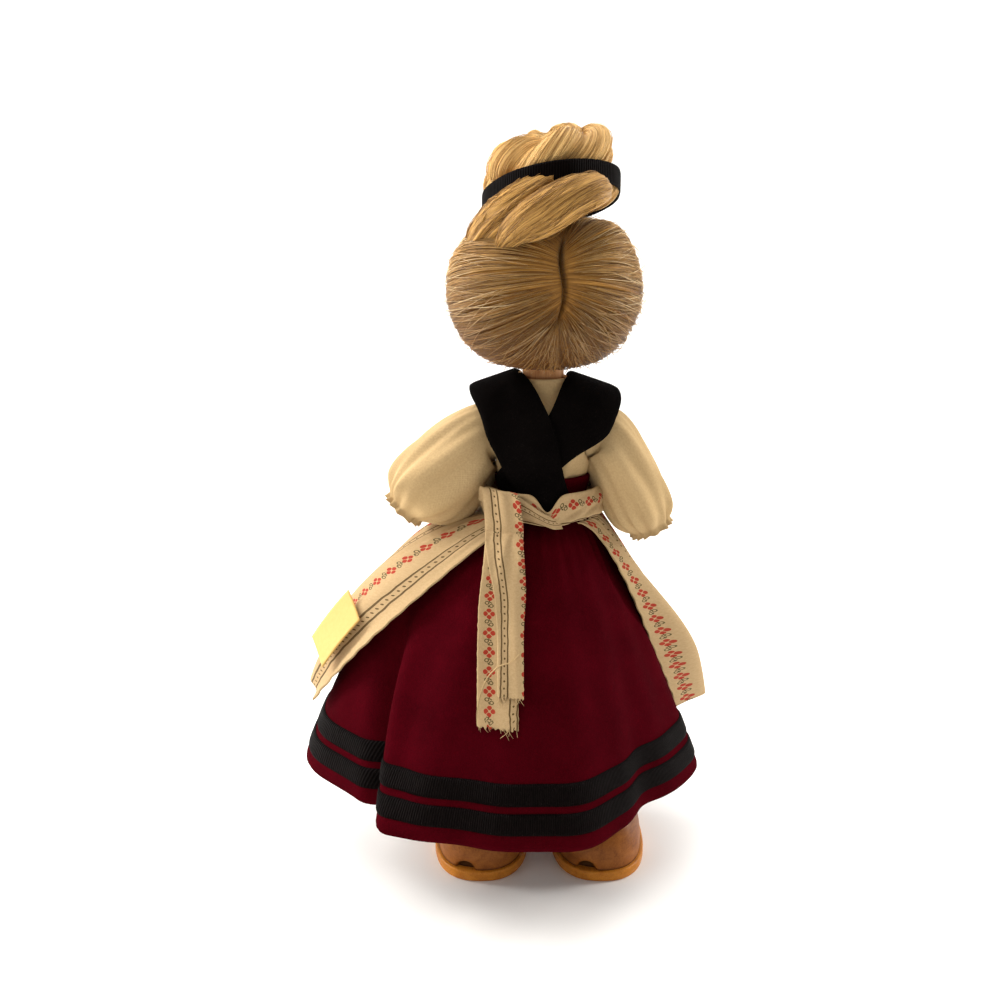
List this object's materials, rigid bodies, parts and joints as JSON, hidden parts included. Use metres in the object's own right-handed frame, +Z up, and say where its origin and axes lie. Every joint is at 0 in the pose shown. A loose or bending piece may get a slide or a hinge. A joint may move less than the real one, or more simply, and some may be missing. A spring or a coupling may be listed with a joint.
{
  "type": "peg wooden doll",
  "caption": "Free-standing jointed wooden peg doll in folk dress: full wool skirt with ribbon-banded hem, printed apron and sash, puffed sleeves, crossed felt straps and a coiled hair bun.",
  "frame": {"origin": "on the floor, in the middle between the two shoes, straight below the neck peg", "axes": "+Z up along the doll's upright axis; the doll faces -Y, so its own left is +X"},
  "size_m": [0.1145, 0.1016, 0.1999],
  "materials": {
    "turned_wood": "satin",
    "peg_wood": "matte",
    "shoe_wood": "satin varnish",
    "sole_wood": "satin",
    "hair": "silky combed fibre",
    "burgundy_wool": "matte",
    "black_felt": "matte",
    "black_ribbon": "ribbed",
    "print_cotton": "printed, matte",
    "cream_cotton": "matte",
    "tag_card": "matte"
  },
  "bodies": {
    "torso": {"torso": "turned_wood", "neck_peg": "peg_wood", "shoulder_peg_left": "peg_wood", "shoulder_peg_right": "peg_wood", "hip_peg": "peg_wood", "blouse": "cream_cotton", "dress_bodice": "burgundy_wool", "felt_front": "black_felt", "strap_left": "black_felt", "strap_right": "black_felt", "skirt": "burgundy_wool", "hem_ribbon_upper": "black_ribbon", "hem_ribbon_lower": "black_ribbon", "apron": "print_cotton", "apron_band": "print_cotton", "sash_knot": "print_cotton", "sash_tail_long": "print_cotton", "sash_tail_short": "print_cotton", "paper_tag": "tag_card"},
    "head": {"head": "turned_wood", "nose_peg": "turned_wood", "wig": "hair", "hair_bun": "hair", "hair_twist": "hair", "hair_ribbon": "black_ribbon"},
    "arm_left": {"arm_left": "turned_wood", "sleeve_left": "cream_cotton"},
    "arm_right": {"arm_right": "turned_wood", "sleeve_right": "cream_cotton"},
    "leg_left": {"leg_left": "turned_wood", "shoe_left": "shoe_wood", "sole_left": "sole_wood"},
    "leg_right": {"leg_right": "turned_wood", "shoe_right": "shoe_wood", "sole_right": "sole_wood"}
  },
  "joints": [
    {"name": "neck_turn", "type": "hinge", "parent": "torso", "child": "head", "pos_m": [0, 0, 0.142], "axis": [0, 0, 1], "range_deg": [-80, 80]},
    {"name": "shoulder_left", "type": "hinge", "parent": "torso", "child": "arm_left", "pos_m": [0.01335, 0, 0.122], "axis": [-1, 0, 0], "range_deg": [-10, 90]},
    {"name": "shoulder_right", "type": "hinge", "parent": "torso", "child": "arm_right", "pos_m": [-0.01335, 0, 0.122], "axis": [-1, 0, 0], "range_deg": [-10, 90]},
    {"name": "hip_left", "type": "hinge", "parent": "torso", "child": "leg_left", "pos_m": [0.00885, 0, 0.084], "axis": [-1, 0, 0], "range_deg": [-20, 25]},
    {"name": "hip_right", "type": "hinge", "parent": "torso", "child": "leg_right", "pos_m": [-0.00885, 0, 0.084], "axis": [-1, 0, 0], "range_deg": [-20, 25]}
  ]
}
